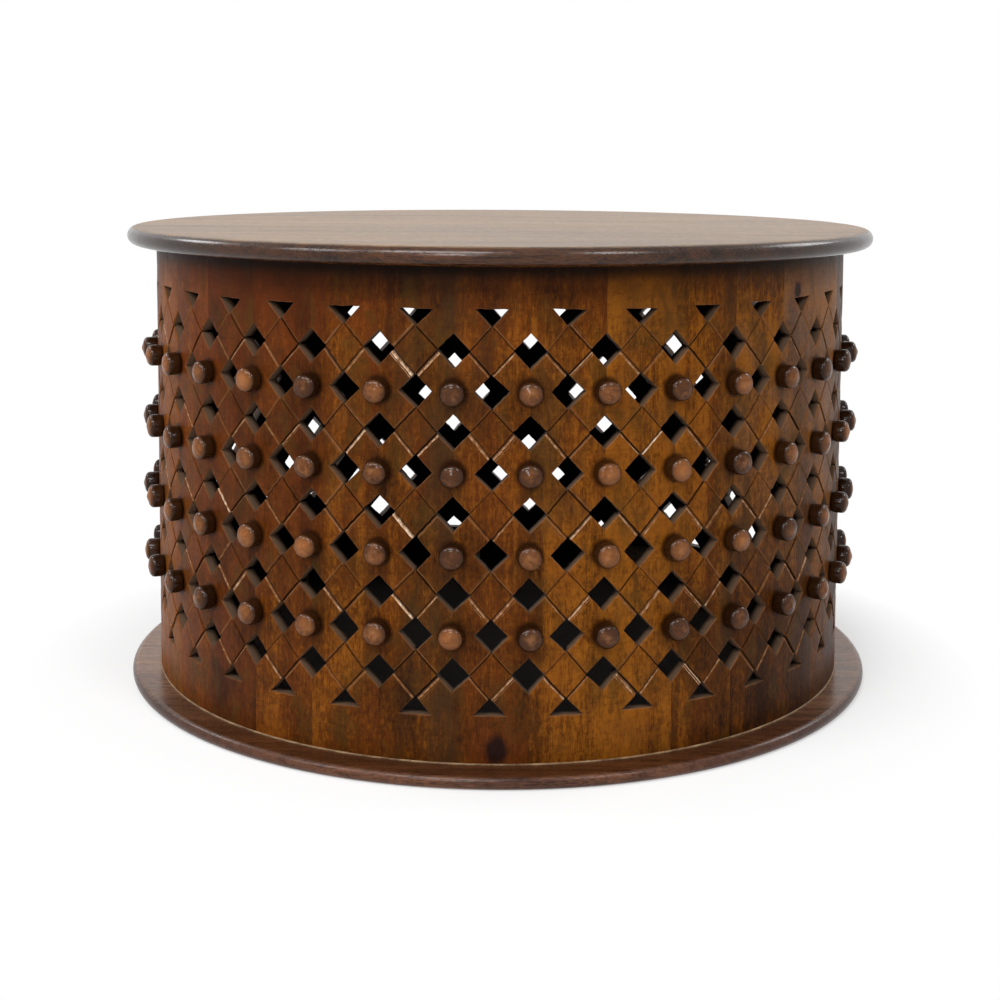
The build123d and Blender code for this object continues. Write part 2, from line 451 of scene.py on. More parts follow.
def smooth_by_angle(mesh, degrees, soft=None):
    """Smooth shading, with the edges that turn by more than an angle kept sharp.

    Edges between two vertices marked soft stay smooth up to ARRIS_ANGLE.
    """
    edited = bmesh.new()
    edited.from_mesh(mesh)
    for face in edited.faces:
        face.smooth = True
    for edge in edited.edges:
        is_soft = soft is not None and all(soft[vertex.index] for vertex in edge.verts)
        edge.smooth = edge.calc_face_angle(0) <= radians(ARRIS_ANGLE if is_soft else degrees)
    edited.to_mesh(mesh)
    edited.free()


def groove_marks(flat, grooves):
    """Depth, painted valley shade and bevel shine of the carved lines at each flat point."""
    cut = valley_shade = shine = np.zeros(len(flat))
    for groove in grooves:
        depths = groove.depths(flat)
        cut = np.maximum(cut, depths)
        valley_shade = np.maximum(valley_shade, depths * groove.darkness)
        shine = np.maximum(shine, groove.shine(flat))
    return cut, valley_shade, shine


def arris_depth(from_hole):
    """How deep the rounded arris lies at each distance from a hole's edge."""
    inwards = np.clip(ARRIS_RADIUS - from_hole, 0, ARRIS_RADIUS)
    return ARRIS_RADIUS - np.sqrt(ARRIS_RADIUS**2 - inwards**2)


def wandered(angles, heights, from_joint):
    """Angles and heights of the carved face's points, moved a little as by hand."""
    sideways = wobble(angles, heights, "side", WANDER_WAVE, WANDER)
    sideways *= np.clip(from_joint / JOINT_FADE, 0, 1)
    upwards = wobble(angles, heights, "rise", WANDER_WAVE, WANDER)
    upwards *= np.clip((WALL_TOP - heights) / END_FADE, 0, 1)
    upwards *= np.clip((heights - WALL_BOTTOM) / END_FADE, 0, 1)
    return angles + sideways / DRUM_RADIUS, heights + upwards


def angles_behind(flat, angles, radii, centre_angle, holes):
    """Angles of the inner face's points behind those of the carved face's border.

    A hole runs in along its own axis, so its sides are parallel and not radial.
    """
    on_joint = np.abs(flat[:, 0]) > HALF_STAVE - TOUCHING
    axis = np.where(on_joint, flat[:, 0], 0.0)
    on_hole = np.zeros(len(flat), bool)
    for hole in holes:
        close = hole_distance(flat, [hole]) < TOUCHING
        axis[close] = hole.axis_u
        on_hole |= close
    axis_angle = centre_angle + axis / DRUM_RADIUS
    lateral = radii * np.sin(angles - axis_angle)
    return np.where(on_hole | on_joint, axis_angle + np.arcsin(lateral / INNER_RADIUS), angles)


def inner_face(outline, edges, holes):
    """Extra points and the triangles of a stave's inner face, laid out flat.

    The outline's points keep their numbers and the extra ones follow them.
    """
    across = np.linspace(-HALF_STAVE, HALF_STAVE, round(STAVE_WIDTH / BACK_STEP) + 1)[1:-1]
    up = np.arange(WALL_BOTTOM + BACK_STEP, WALL_TOP - BACK_STEP / 2, BACK_STEP)
    grid = np.array([(u, z) for z in up for u in across])
    grid = grid[(hole_distance(grid, holes) > BACK_MARGIN) & outside_holes(grid, holes)]
    found = delaunay_2d_cdt([Vector(point) for point in np.concatenate([outline, grid])], edges, [], 0, 1e-9)
    points = np.array([tuple(point) for point in found[0]])
    triangles = np.array([tuple(face) for face in found[2]])
    middles = points[triangles].mean(axis=1)
    triangles = triangles[(np.abs(middles[:, 0]) < HALF_STAVE) & outside_holes(middles, holes)]
    numbers, extra = [], []
    for point, origins in zip(points, found[3]):
        if origins and origins[0] < len(outline):
            numbers.append(origins[0])
        else:
            numbers.append(len(outline) + len(extra))
            extra.append(point)
    return np.array(extra).reshape(-1, 2), np.array(numbers)[triangles]


def carved_stave(index, material, tones):
    """One stave with its holes, carved lines and rounded arrises as a closed mesh."""
    centre_angle = FIRST_JOINT + (index + 0.5) * STAVE_ANGLE
    holes = stave_holes(index)
    grooves = stave_grooves(index, holes)
    flat, triangles = front_layout(holes, grooves)
    from_hole, from_joint = hole_distance(flat, holes), HALF_STAVE - np.abs(flat[:, 0])
    cut, valley_shade, shine = groove_marks(flat, grooves)
    foot = np.clip(FOOT_BEVEL - (flat[:, 1] - WALL_BOTTOM), 0, FOOT_BEVEL)
    angles = centre_angle + flat[:, 0] / DRUM_RADIUS
    hollow = HOLLOW + wobble(angles, flat[:, 1], "hollow", HOLLOW_WAVE, HOLLOW)
    radii = DRUM_RADIUS - (arris_depth(from_hole) + cut + foot + np.clip(hollow, 0, None))
    angles, heights = wandered(angles, flat[:, 1], from_joint)
    front = on_drum(angles, radii, heights)

    border = boundary_edges(triangles)
    rim = sorted({vertex for edge in border for vertex in edge})
    number = {vertex: place for place, vertex in enumerate(rim)}
    back_angles = angles_behind(flat[rim], angles[rim], radii[rim], centre_angle, holes)
    outline = np.stack([(back_angles - centre_angle) * DRUM_RADIUS, heights[rim]], axis=1)
    extra, inner = inner_face(outline, [(number[a], number[b]) for a, b in border], holes)
    back_angles = np.concatenate([back_angles, centre_angle + extra[:, 0] / DRUM_RADIUS])
    back_heights = np.concatenate([heights[rim], extra[:, 1]])
    back = on_drum(back_angles, np.full(len(back_angles), INNER_RADIUS), back_heights)

    count = len(front)
    walls = [(b, a, count + number[a], count + number[b]) for a, b in border]
    faces = triangles.tolist() + walls + (inner[:, ::-1] + count).tolist()
    points = np.concatenate([front, back])
    piece = new_piece(f"carved_{STAVES[index]}", points, faces, material)
    mark_board(piece.data, index, np.concatenate([flat, outline, extra]), points, tones)
    joint_line = np.clip(1 - from_joint / JOINT_LINE, 0, 1) * JOINT_DARKNESS
    # The valley mark paints shade into the groove valleys and adds the dark joint lines; the bevel mark
    # paints the paler cut wood and a painted highlight on the bevels and the foot bevel.
    marks = {
        "behind": (np.zeros(count), 1.0),
        "worn": (np.clip(1 - from_hole / ARRIS_RADIUS, 0, 1), 0.0),
        "bevel": (np.maximum(shine, foot / FOOT_BEVEL), 0.0),
        "valley": (np.clip(valley_shade / GROOVE_DEPTH, 0, MAX_VALLEY_SHADE) + joint_line, 0.0),
    }
    for name, (values, value_behind) in marks.items():
        add_attribute(piece.data, name, np.append(values, np.full(len(back), value_behind)))
    soft = np.append(from_hole < ARRIS_REACH, np.zeros(len(back), bool))
    smooth_by_angle(piece.data, FACET_ANGLE, soft)
    return piece


def mark_board(mesh, index, flat, points, tones):
    """Stores a stave's grain, tones, stain and knot, and how far the knobs' seats are."""
    rng = seeded("board", index)
    offset = np.array([rng.uniform(0, 9) for _ in range(3)])
    radial = DRUM_RADIUS - np.hypot(points[:, 0], points[:, 1])
    add_attribute(mesh, "grain", np.stack([flat[:, 0], flat[:, 1], radial], axis=1) + offset)
    add_attribute(mesh, "seat", knob_distance(flat) / KNOB_RADIUS)
    for name, value in zip(("tone", "foot_painted_light_and_stain", "head_painted_light_and_stain", "red"), tones):
        add_attribute(mesh, name, np.full(len(flat), value))
    if index + 1 in STAINS:
        left, right = (edge * MM for edge in STAINS[index + 1])
        inside = np.minimum(flat[:, 0] - left, right - flat[:, 0])
        add_attribute(mesh, "stained", np.clip(inside / STAIN_FADE + 0.5, 0, 1))
    if index + 1 in KNOTS:
        add_attribute(mesh, "knot", knot_distance(flat, KNOTS[index + 1]))


def knot_distance(points, knot):
    """How far each flat point is from a knot, as a share of its core's half width, less NO_KNOT."""
    across, height, size = (length * MM for length in knot)
    distance = np.hypot(points[:, 0] - across, (points[:, 1] - height) / KNOT_STRETCH) / size
    return np.minimum(distance, NO_KNOT) - NO_KNOT


def knob_distance(points):
    """Distance of each flat point from the nearest knob's centre on either joint."""
    nearest = np.full(len(points), 1.0)
    for row in range(2, LAST_ROW, 2):
        for side in (-HALF_STAVE, HALF_STAVE):
            nearest = np.minimum(nearest, np.hypot(points[:, 0] - side, points[:, 1] - row_height(row)))
    return nearest


# ---- knobs ----
# The half outline of a knob, as shares of its radius and of its height, from the wall out.
KNOB_SIDE = [(0.86, 0.0), (0.93, 0.05), (0.98, 0.14), (1.0, 0.30), (0.995, 0.48)]
KNOB_SHOULDER = (0.99, 0.60)  # where the round shoulder starts
KNOB_SHOULDER_TURN = radians(80)
KNOB_SHOULDER_STEPS = 6
KNOB_FACE = (0.46, 0.900)  # the nearly flat face's edge
KNOB_DOME = [(0.34, 0.938), (0.22, 0.970), (0.10, 0.993)]
KNOB_SIDES = 28

KNOB_WIDTHS = (0.98, 1.03)  # ranges, as shares of the knob's size
KNOB_REACHES = (0.93, 1.0)
KNOB_BLUNTNESS = (0.0, 0.05)
KNOB_OVALS = (0.0, 0.03)
KNOB_LEAN = 0.03  # radians
BLUNT_FROM, BLUNT_GAIN = 0.9, 10
TEXTURE_SPREAD = 9  # how far apart pieces lie in the wood's pattern


def knob_profile():
    """Half outline of a turned knob, as (radius, height) shares."""
    outline = list(KNOB_SIDE)
    (face_radius, face_height), (radius, height) = KNOB_FACE, KNOB_SHOULDER
    last = cos(KNOB_SHOULDER_TURN)
    for step in range(KNOB_SHOULDER_STEPS + 1):
        turn = KNOB_SHOULDER_TURN * step / KNOB_SHOULDER_STEPS
        outward = face_radius + (radius - face_radius) * (cos(turn) - last) / (1 - last)
        forward = sin(turn) / sin(KNOB_SHOULDER_TURN)
        outline.append((outward, height + (face_height - height) * forward))
    return outline + KNOB_DOME


def one_knob(row, column, share, rise):
    """Points of a knob, their places in its grain, and its tone, each knob a little different."""
    rng = seeded("knob", row, column)
    radius = KNOB_RADIUS * rng.uniform(*KNOB_WIDTHS)
    height = KNOB_PROJECTION * rng.uniform(*KNOB_REACHES)
    blunt = rng.uniform(*KNOB_BLUNTNESS)
    lean = Euler((rng.gauss(0, KNOB_LEAN), rng.gauss(0, KNOB_LEAN), 0)).to_matrix()
    tone = rng.random()
    offset = [rng.uniform(0, TEXTURE_SPREAD) for _ in range(3)]
    oval, phase = rng.uniform(*KNOB_OVALS), rng.uniform(0, tau)
    bearing = tau * np.arange(KNOB_SIDES) / KNOB_SIDES
    reach = radius * share * (1 + oval * np.cos(2 * (bearing - phase)) - oval)
    level = height * (rise - blunt * np.maximum(rise - BLUNT_FROM, 0) * BLUNT_GAIN) + 0 * reach
    points = np.stack([reach * np.cos(bearing), reach * np.sin(bearing), level], axis=2).reshape(-1, 3)
    points = np.append(points, [(0, 0, height * (1 - blunt))], axis=0)
    angle = FIRST_JOINT + column * STAVE_ANGLE
    out = Vector((sin(angle), -cos(angle), 0))
    tangent = Vector((cos(angle), sin(angle), 0))
    turn = Matrix((tangent, Vector((0, 0, 1)), out)).transposed()
    seat = out * DRUM_RADIUS + Vector((0, 0, row_height(row)))
    return points @ np.array(turn @ lean).T + np.array(seat), points + offset, tone


def knob_faces(rings, first):
    """Faces between the rings of a knob's points, round its tip and under its foot."""
    faces = [tuple(first + step for step in reversed(range(KNOB_SIDES)))]
    for ring in range(rings):
        for step in range(KNOB_SIDES):
            a = first + ring * KNOB_SIDES + step
            b = first + ring * KNOB_SIDES + (step + 1) % KNOB_SIDES
            outer = (b + KNOB_SIDES, a + KNOB_SIDES) if ring < rings - 1 else (first + rings * KNOB_SIDES,)
            faces.append((a, b, *outer))
    return faces


def turned_knobs(name, row, material):
    """A row of knobs, one on every stave joint."""
    share, rise = np.array(knob_profile()).T[:, :, None]
    points, grain, tones = zip(*(one_knob(row, column, share, rise) for column in range(len(STAVES))))
    size = len(points[0])
    faces = [face for knob in range(len(STAVES)) for face in knob_faces(len(share), knob * size)]
    piece = new_piece(name, np.concatenate(points), faces, material)
    rises = np.append(np.repeat(rise, KNOB_SIDES), 1.0)
    add_attribute(piece.data, "grain", np.concatenate(grain))
    add_attribute(piece.data, "tone", np.repeat(tones, size))
    add_attribute(piece.data, "rise", np.tile(rises, len(STAVES)))
    smooth_by_angle(piece.data, TURNED_ANGLE)
    return piece


# ---- the bead of filler at the wall's foot ----
BEAD_OUT = 0.7 * MM
BEAD_INSET = 0.1 * MM
BEAD_BACK, BEAD_RISE = 0.95, 1.05  # as shares of the wall's foot bevel
BEAD_STEPS = 5
BEAD_SIDES = 720


def foot_bead(name, material):
    """Thin uneven bead of pale filler that closes the bevel between the wall and the base."""
    angle = tau * np.arange(BEAD_SIDES)[:, None] / BEAD_SIDES
    uneven = 1 + 0.22 * np.sin(23 * angle + 1.1) * np.sin(7 * angle) + 0.12 * np.sin(61 * angle)
    turn = pi / 2 * np.arange(BEAD_STEPS + 1) / BEAD_STEPS
    start = DRUM_RADIUS - BEAD_INSET
    radius = start + (DRUM_RADIUS + BEAD_OUT * uneven - start) * np.cos(turn)
    radius = np.insert(radius, 0, DRUM_RADIUS - FOOT_BEVEL * BEAD_BACK, axis=1).ravel()
    level = FOOT_BEVEL * BEAD_RISE * (0.9 + 0.1 * uneven) * np.sin(turn)
    level = np.insert(level, 0, 0.0, axis=1).ravel()
    size = BEAD_STEPS + 2
    angle = np.repeat(angle, size)
    faces = []
    for step in range(BEAD_SIDES):
        here, there = step * size, (step + 1) % BEAD_SIDES * size
        for place in range(size):
            after = (place + 1) % size
            faces.append((here + place, there + place, there + after, here + after))
    piece = new_piece(name, on_drum(angle, radius, WALL_BOTTOM + level), faces, material)
    add_attribute(piece.data, "grain", np.stack([radius * angle, level, radius], axis=1))
    smooth_by_angle(piece.data, TURNED_ANGLE)
    return piece


# ---- node trees ----
class Nodes:
    """Small helper that builds the nodes of one tree."""

    def __init__(self, tree):
        self.tree = tree

    def node(self, kind, **settings):
        """A node with its properties and its unlinked inputs set."""
        made = self.tree.nodes.new(kind)
        for key, value in settings.items():
            if hasattr(made, key):
                setattr(made, key, value)
            else:
                made.inputs[key.replace("_", " ")].default_value = value
        return made

    def link(self, source, target):
        """Joins an output to an input."""
        self.tree.links.new(source, target)

    def value(self, name):
        """A vertex attribute's value."""
        return self.node("ShaderNodeAttribute", attribute_name=name).outputs["Fac"]

    def grain(self):
        """Each point's place in its board's grain."""
        return self.node("ShaderNodeAttribute", attribute_name="grain").outputs["Vector"]

    def place(self):
        """Each point's place in its object."""
        return self.node("ShaderNodeTexCoord").outputs["Object"]

    def axes(self):
        """The three coordinates of each point's place in its object."""
        split = self.node("ShaderNodeSeparateXYZ")
        self.link(self.place(), split.inputs[0])
        return split.outputs

    def length(self, vector):
        """A vector's length."""
        made = self.node("ShaderNodeVectorMath", operation="LENGTH")
        self.link(vector, made.inputs[0])
        return made.outputs["Value"]

    def noise(self, vector, scale, detail=3.0, roughness=0.6, distortion=0.0):
        """Noise at a vector that is scaled along each axis."""
        stretch = self.node("ShaderNodeMapping", Scale=scale)
        self.link(vector, stretch.inputs["Vector"])
        look = {"Detail": detail, "Roughness": roughness, "Distortion": distortion}
        made = self.node("ShaderNodeTexNoise", Scale=1.0, **look)
        self.link(stretch.outputs["Vector"], made.inputs["Vector"])
        return made.outputs["Fac"]

    def remap(self, source, low, high, new_low=0.0, new_high=1.0):
        """The value moved from one range to another, and held inside it."""
        made = self.node("ShaderNodeMapRange", From_Min=low, From_Max=high, To_Min=new_low, To_Max=new_high)
        self.link(source, made.inputs["Value"])
        return made.outputs["Result"]

    def math(self, operation, first, second):
        """Arithmetic on two values, each an output or a number."""
        made = self.node("ShaderNodeMath", operation=operation)
        for place, value in enumerate((first, second)):
            if isinstance(value, (int, float)):
                made.inputs[place].default_value = value
            else:
                self.link(value, made.inputs[place])
        return made.outputs[0]

    def add(self, first, second):
        """The sum of two values."""
        return self.math("ADD", first, second)

    def times(self, first, second):
        """The product of two values."""
        return self.math("MULTIPLY", first, second)

    def less(self, first, second):
        """The difference of two values."""
        return self.math("SUBTRACT", first, second)

    def mix(self, factor, first, second):
        """Two colours mixed by a factor; each is an output or a colour."""
        made = self.node("ShaderNodeMix", data_type="RGBA")
        self.link(factor, made.inputs[0])
        for socket, value in ((made.inputs[6], first), (made.inputs[7], second)):
            if isinstance(value, tuple):
                socket.default_value = (*value, 1.0)
            else:
                self.link(value, socket)
        return made.outputs[2]

    def layers(self, colour, over):
        """The colour with others laid over it in turn, each as far as its share says."""
        for share, tint in over:
            colour = self.mix(share, colour, tint)
        return colour


class Shader(Nodes):
    """The nodes of one new material."""

    def __init__(self, name):
        self.material = bpy.data.materials.new(name)
        self.material.use_nodes = True
        super().__init__(self.material.node_tree)
        self.surface = self.tree.nodes["Principled BSDF"]

    def bump(self, height, distance, strength):
        """Bump on the surface from a height."""
        made = self.node("ShaderNodeBump", Distance=distance, Strength=strength)
        self.link(height, made.inputs["Height"])
        self.link(made.outputs["Normal"], self.surface.inputs["Normal"])

    def finish(self, colour, roughness, coat, coat_roughness, specular=0.5):
        """Sets the surface's colour, gloss and lacquer."""
        self.link(colour, self.surface.inputs["Base Color"])
        self.link(roughness, self.surface.inputs["Roughness"])
        self.surface.inputs["Coat Weight"].default_value = coat
        self.surface.inputs["Coat Roughness"].default_value = coat_roughness
        self.surface.inputs["Specular IOR Level"].default_value = specular
        return self.material


# ---- colours ----
DARK_WOOD = (0.0217, 0.0067, 0.0017)
BROWN_WOOD = (0.0868, 0.025, 0.0026)
AMBER_WOOD = (0.2409, 0.0787, 0.0061)
RED_WOOD = (0.1345, 0.028, 0.005)
OLIVE_WOOD = (0.0651, 0.0315, 0.0054)
# greyish colour of a painted sheen
SHEEN_GREY = (0.1302, 0.0868, 0.0629)
SMOKE = (0.0369, 0.0179, 0.0065)
KNOT_CORE = (0.0109, 0.0049, 0.0043)
BROWN_CUT = (0.1953, 0.0803, 0.0282)
# paler cut wood and painted highlight of the bevels
PALE_CUT_AND_SHEEN = (0.5099, 0.3309, 0.2061)
CUT_GLINT = (0.74, 0.60, 0.48)
GREY_CUT = (0.1063, 0.0694, 0.0456)
WORN_EDGE = (0.2387, 0.1085, 0.0488)
# dark grey of painted shade on the base inside the drum
BASE_INSIDE_SHADE = (0.050, 0.042, 0.038)
# near black of painted shade inside the drum
INSIDE_SHADE = (0.008, 0.006, 0.005)
BLACK = (0.004, 0.003, 0.0025)

KNOB_DARK, KNOB_PALE = (0.062, 0.0200, 0.0050), (0.250, 0.086, 0.022)
KNOB_RUBBED = (0.30, 0.130, 0.050)
KNOB_FLECK = (0.020, 0.007, 0.003)
# painted shade on the knobs' sides
KNOB_SHADE = (0.012, 0.0042, 0.0015)
FILLER_DARK, FILLER_PALE = (0.070, 0.034, 0.014), (0.36, 0.235, 0.125)
CLEAT_DARK, CLEAT_PALE = (0.10, 0.06, 0.035), (0.24, 0.16, 0.10)
STEEL_DARK, STEEL_PALE = (0.38, 0.38, 0.37), (0.55, 0.55, 0.54)

# Looks of the discs: dark and pale wood of the face, the turned rim and, where it differs, the face at the
# table's sides, painted lighter there as a painted reflection; roughness of the face; how much smoother the
# rim is; specular level.
TOP_LOOK = {
    # The face's pale greyish colour is partly the wood's own and partly a painted sheen.
    "face": ((0.092, 0.050, 0.021), (0.330, 0.192, 0.090)),
    "rim": ((0.010, 0.0030, 0.0010), (0.078, 0.026, 0.0070)),
    "gloss": (0.30, 0.40),
    "rim_polish": 0.30 - 0.12,
    "specular": 0.33,
}
BASE_LOOK = {
    "face": ((0.026, 0.0085, 0.0035), (0.085, 0.030, 0.011)),
    "rim": ((0.034, 0.0105, 0.0055), (0.150, 0.060, 0.029)),
    # painted reflection: the base's face lighter at the table's left and right
    "sides": ((0.100, 0.045, 0.024), (0.30, 0.160, 0.088)),
    "gloss": (0.18, 0.28),
    "rim_polish": 0.18 - 0.20,
    "specular": 0.22,
}
SIDE_SHEEN_TO, SIDE_SHEEN_FROM = 0.08, 0.26  # how far back and forward the painted reflection on the base's sides reaches
END_GRAIN_FROM, END_GRAIN_TO, END_STAIN = 0.10, 0.34, 0.8  # where the rim darkens, and how much

# ---- materials ----
# Noise of the wood's figure: scale across and along the grain, detail, roughness and distortion.
FIGURE = {
    "streak": (120, 6.0, 5.0, 0.62, 0.5),
    "band": (28, 2.2, 3.0, 0.5, 1.4),
    "fibre": (900, 70, 3.0, 0.6, 0.3),
    "pore": (1150, 170, 2.0, 0.55, 0.2),
    "mottle": (300, 150, 3.0, 0.6, 0.6),
    "blotch": (24, 13, 4.0, 0.6, 0.4),
}
# How far each part of the figure moves the wood's lightness up and down.
STAVE_SWINGS = {"streak": 0.17, "band": 0.24, "fibre": 0.15, "mottle": 0.24, "blotch": 0.20}
DISC_SWINGS = {"band": 0.30, "fibre": 0.45, "mottle": 0.15}


def board_figure(mat, vector, along):
    """Streaks, bands, fibres, pores, mottle and blotches of wood with its grain along one axis."""
    figure = {}
    for name, (across, lengthwise, *look) in FIGURE.items():
        scale = tuple(lengthwise if axis == along else across for axis in range(3))
        figure[name] = mat.noise(vector, scale, *look)
    return figure


def swung(mat, light, wood, swings):
    """The lightness moved up and down by the figure."""
    for name, swing in swings.items():
        light = mat.add(light, mat.remap(wood[name], 0.3, 0.7, -swing, swing))
    return light


def pits(mat, wood):
    """The open pores."""
    return mat.remap(wood["pore"], 0.55, 0.68)


def raise_grain(mat, wood, distance, strength):
    """Bump from the fibres and the open pores."""
    relief = mat.less(mat.times(wood["fibre"], 0.6), mat.times(pits(mat, wood), 0.6))
    mat.bump(relief, distance, strength)


def stave_light(mat, wood, height):
    """Lightness of the staves: each one's own, its gains towards foot and top, and its figure."""
    light = mat.value("tone")
    # The gains towards the foot and the top are partly stain and partly painted light and shade.
    for gain, start, end in (("foot_painted_light_and_stain", 0.55, 0.1), ("head_painted_light_and_stain", 0.84, 0.94)):
        light = mat.add(light, mat.times(mat.value(gain), mat.remap(height, start, end)))
    return swung(mat, light, wood, STAVE_SWINGS)


def stave_stain(mat, wood, height):
    """Colour of the uncut staves: stain, smoke, knots, pores, a painted greyish sheen, and painted shadow
    under the top and round the knobs.
    """
    light = stave_light(mat, wood, height)
    dark_part = mat.mix(mat.remap(light, 0.0, 0.5), DARK_WOOD, BROWN_WOOD)
    redness = mat.add(mat.value("red"), mat.remap(height, 0.3, 1.0, -0.05, 0.15))
    redness = mat.add(redness, mat.remap(wood["blotch"], 0.35, 0.65, -0.25, 0.25))
    # Painted sheen: where the redness is negative, the upper wall is greyed like a pale reflection.
    painted_sheen = mat.times(mat.remap(redness, -0.1, -0.9, 0.0, 0.7), mat.remap(height, 0.25, 0.75))
    olive = mat.noise(mat.grain(), (40, 20, 40), distortion=0.5)
    smoke = mat.noise(mat.grain(), (13, 6, 13), 4.0, distortion=0.8)
    stain = mat.times(mat.value("stained"), mat.remap(wood["blotch"], 0.38, 0.60, 0.0, 0.85))
    smoky = mat.add(mat.remap(smoke, 0.54, 0.70, 0.0, 0.65), stain)
    knot = mat.add(mat.value("knot"), NO_KNOT)
    knot = mat.add(knot, mat.remap(wood["blotch"], 0.3, 0.7, -0.4, 0.4))
    ringed = mat.remap(wood["mottle"], 0.4, 0.6, 0.5, 1.0)
    curl = mat.noise(mat.grain(), (70, 330, 70), distortion=1.2)
    return mat.layers(dark_part, (
        (mat.remap(light, 0.5, 1.0), AMBER_WOOD),
        (mat.remap(redness, 0.0, 1.0, 0.0, 0.8), RED_WOOD),
        # painted greyish sheen
        (painted_sheen, SHEEN_GREY),
        (mat.remap(olive, 0.52, 0.68, 0.0, 0.6), OLIVE_WOOD),
        (mat.remap(smoky, 0.0, 0.85, 0.0, 0.85), SMOKE),
        (mat.times(mat.remap(knot, 1.2, 3.4, 0.55, 0.0), ringed), RED_WOOD),
        (mat.remap(knot, 0.7, 1.4, 0.95, 0.0), KNOT_CORE),
        (mat.remap(wood["pore"], 0.56, 0.76, 0.0, 0.34), DARK_WOOD),
        (mat.remap(curl, 0.50, 0.70, 0.0, 0.30), DARK_WOOD),
        # painted shadow under the top's overhang, darkest just under the rim
        (mat.remap(height, 0.925, 0.98, 0.0, 0.50), DARK_WOOD),
        (mat.remap(height, 0.965, 0.99, 0.0, 0.80), BLACK),
        # painted shadow round the foot of each knob
        (mat.remap(mat.value("seat"), 1.00, 1.30, 0.85, 0.0), DARK_WOOD),
    ))


def stave_material():
    """Stained and lacquered upright boards, paler where they are cut and worn, with a painted highlight on
    the bevels and painted shade in the grooves and holes.
    """
    mat = Shader("stave_wood")
    wood = board_figure(mat, mat.grain(), 1)
    height = mat.remap(mat.axes()["Z"], WALL_BOTTOM, WALL_TOP)
    wear = mat.times(mat.value("worn"), mat.remap(wood["blotch"], 0.35, 0.65, 0.2, 0.7))
    patches = mat.noise(mat.grain(), (160, 160, 160))
    bevel = mat.times(mat.value("bevel"), mat.remap(patches, 0.35, 0.60, 0.5, 1.0))
    lip_sheen_noise = mat.noise(mat.grain(), (420, 120, 420))
    lip = mat.times(bevel, mat.remap(lip_sheen_noise, 0.35, 0.65, 0.60, 1.15))
    behind = mat.value("behind")
    colour = mat.layers(stave_stain(mat, wood, height), (
        (wear, WORN_EDGE),
        # The bevels: paler cut wood with a painted highlight, brightest along the lip.
        (mat.remap(bevel, 0.0, 0.45, 0.0, 0.85), BROWN_CUT),
        (mat.remap(lip, 0.42, 0.88, 0.0, 0.88), PALE_CUT_AND_SHEEN),
        (mat.remap(lip, 1.0, 1.6, 0.0, 0.8), CUT_GLINT),
        # painted shade in the groove valleys, with the dark joint lines
        (mat.remap(mat.value("valley"), 0.34, 0.84, 0.0, 0.97), BLACK),
        # Hole walls: grey cut wood at the front, fading deeper in to near black as painted shade; the inner
        # face is near black too.
        (mat.remap(behind, 0.0, 0.12, 0.0, 0.9), GREY_CUT),
        (mat.remap(behind, 0.55, 1.0), INSIDE_SHADE),
    ))
    rough = mat.remap(wood["streak"], 0.3, 0.7, 0.34, 0.46)
    rough = mat.add(rough, mat.times(pits(mat, wood), 0.15))
    rough = mat.less(rough, mat.remap(bevel, 0.0, 1.0, 0.0, 0.16))
    raise_grain(mat, wood, 0.25 * MM, 0.6)
    return mat.finish(colour, rough, 0.0, 0.2, 0.045)


def knob_material():
    """Red-brown stained and glossy turned wood, darker round its foot and sides as painted shade, rubbed
    paler here and there.
    """
    mat = Shader("knob_wood")
    figure = mat.noise(mat.grain(), (120, 120, 45), 4.0, 0.55, 1.2)
    fleck = mat.noise(mat.grain(), (520, 520, 130))
    rubbed = mat.noise(mat.grain(), (110, 110, 110), 2.0, 0.5, 0.4)
    rise = mat.value("rise")
    light = mat.remap(mat.value("tone"), 0.0, 1.0, -0.2, 1.1)
    light = mat.add(light, mat.remap(figure, 0.3, 0.7, -0.35, 0.35))
    wear = mat.times(mat.remap(rubbed, 0.48, 0.66, 0.0, 0.40), mat.remap(rise, 0.8, 0.97))
    colour = mat.layers(KNOB_DARK, (
        (mat.remap(light, 0.0, 1.0), KNOB_PALE),
        (wear, KNOB_RUBBED),
        (mat.remap(fleck, 0.56, 0.78, 0.0, 0.35), KNOB_FLECK),
        # painted shade on the knob's sides and shoulder, darkest at its foot
        (mat.remap(rise, 0.68, 0.935, 0.92, 0.0), KNOB_SHADE),
    ))
    mat.bump(mat.add(figure, mat.times(fleck, 0.4)), 0.08 * MM, 0.4)
    return mat.finish(colour, mat.remap(figure, 0.3, 0.7, 0.20, 0.30), 0.32, 0.12, 0.03)


def filler_material():
    """Pale wood filler, darkened here and there."""
    mat = Shader("foot_filler")
    patches = mat.noise(mat.grain(), (45, 45, 45), 5.0, 0.7)
    specks = mat.noise(mat.grain(), (600, 600, 600))
    colour = mat.layers(FILLER_DARK, (
        (mat.remap(patches, 0.35, 0.65), FILLER_PALE),
        (mat.remap(specks, 0.55, 0.7, 0.0, 0.6), BROWN_WOOD),
    ))
    mat.bump(specks, 0.2 * MM, 0.5)
    return mat.finish(colour, mat.remap(patches, 0.3, 0.7, 0.35, 0.55), 0.0, 0.3, 0.2)


